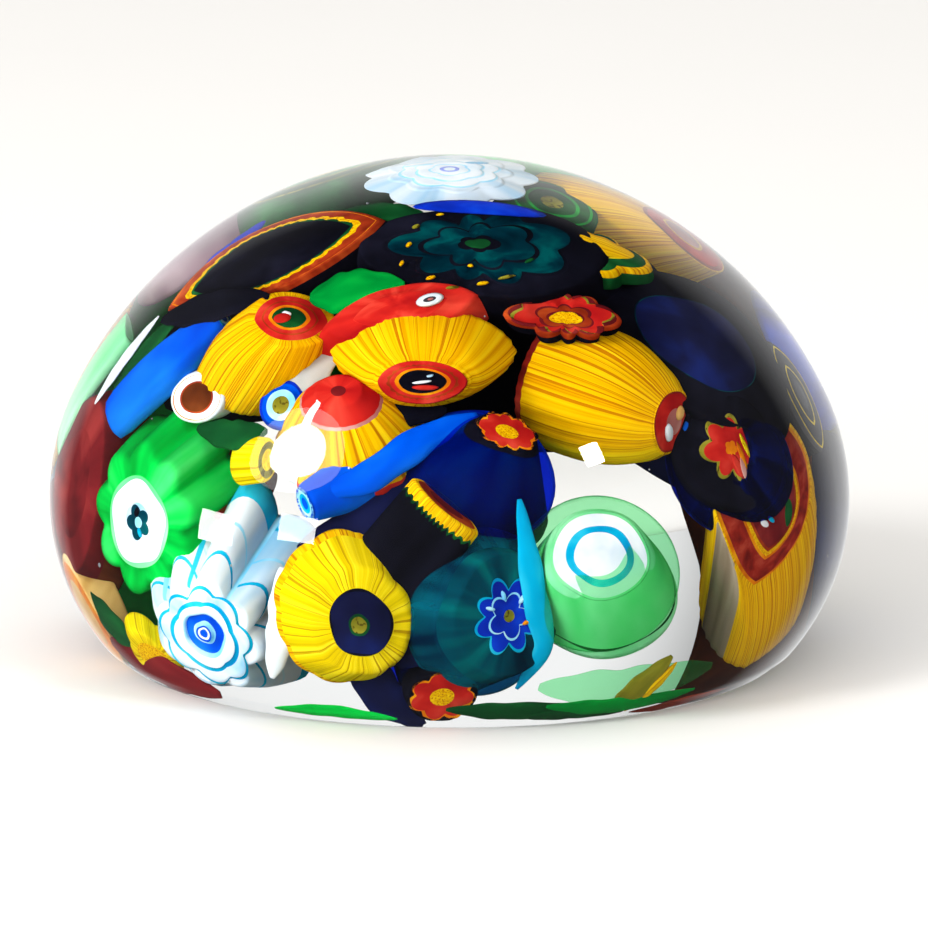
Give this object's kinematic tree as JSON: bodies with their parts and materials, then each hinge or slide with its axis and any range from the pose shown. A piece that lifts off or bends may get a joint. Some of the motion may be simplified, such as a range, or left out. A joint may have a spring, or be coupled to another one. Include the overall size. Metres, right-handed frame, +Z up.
{
  "type": "paperweight",
  "caption": "Domed clear glass paperweight with a flat ground base and colourful millefiori cane slices sealed inside.",
  "frame": {"origin": "middle of the flat base, on the surface it rests on", "axes": "+Z up through the crown, +Y away from the front, +X to the right seen from the front"},
  "size_m": [0.08, 0.08, 0.049],
  "materials": {
    "crystal": "polished clear",
    "amber": "opaque fused glass",
    "azure": "opaque fused glass",
    "black": "opaque fused glass",
    "brown": "opaque fused glass",
    "cobalt": "opaque fused glass",
    "emerald": "opaque fused glass",
    "forest": "opaque fused glass",
    "mauve": "opaque fused glass",
    "mint": "opaque fused glass",
    "navy": "opaque fused glass",
    "olive": "opaque fused glass",
    "red": "opaque fused glass",
    "teal": "opaque fused glass",
    "turquoise": "opaque fused glass",
    "white": "opaque fused glass",
    "wine": "opaque fused glass",
    "yellow": "opaque fused glass"
  },
  "bodies": {
    "root": {"clear_dome": "crystal", "top_rose": "white", "teal_crown": "cobalt", "dark_eye": "black", "gold_eye": "yellow", "cobalt_petal": "azure", "mint_limb": "mint", "red_bolster": "red", "gold_bell": "yellow", "ember_rose": "red", "amber_shell": "amber", "midnight": "navy", "gold_ridge": "yellow", "leaf_star": "forest", "smoke_loop": "black", "flame_button": "navy", "chevron": "yellow", "jade_cup": "mint", "poppy_night": "cobalt", "azure_rod": "azure", "saffron_slice": "yellow", "bead_eye": "turquoise", "saw_edge": "black", "gold_ring": "yellow", "rose_left": "white", "green_blossom": "emerald", "wine_limb": "wine", "sun_chip": "yellow", "olive_strip": "olive", "teal_lantern": "teal", "poppy_base": "black", "ink_flower": "cobalt", "umber_eye": "brown", "ochre_low": "amber", "moss_low": "olive", "fern_back": "emerald", "coal_block": "black", "plum_core": "wine", "rear_slate": "navy", "rear_olive": "olive", "rear_umber": "brown", "rear_wine": "wine", "rear_snow": "white", "rear_fern": "emerald", "rear_cobalt": "cobalt", "rear_poppy": "black", "rear_leaf": "forest", "rear_sun": "yellow", "rear_ruby": "red", "rear_violet": "navy", "crown_ink": "black", "crown_fern": "forest", "crown_ice": "turquoise", "crown_mauve": "mauve", "cap_pine": "forest", "cap_fern": "emerald", "cap_moss": "forest"}
  },
  "joints": []
}
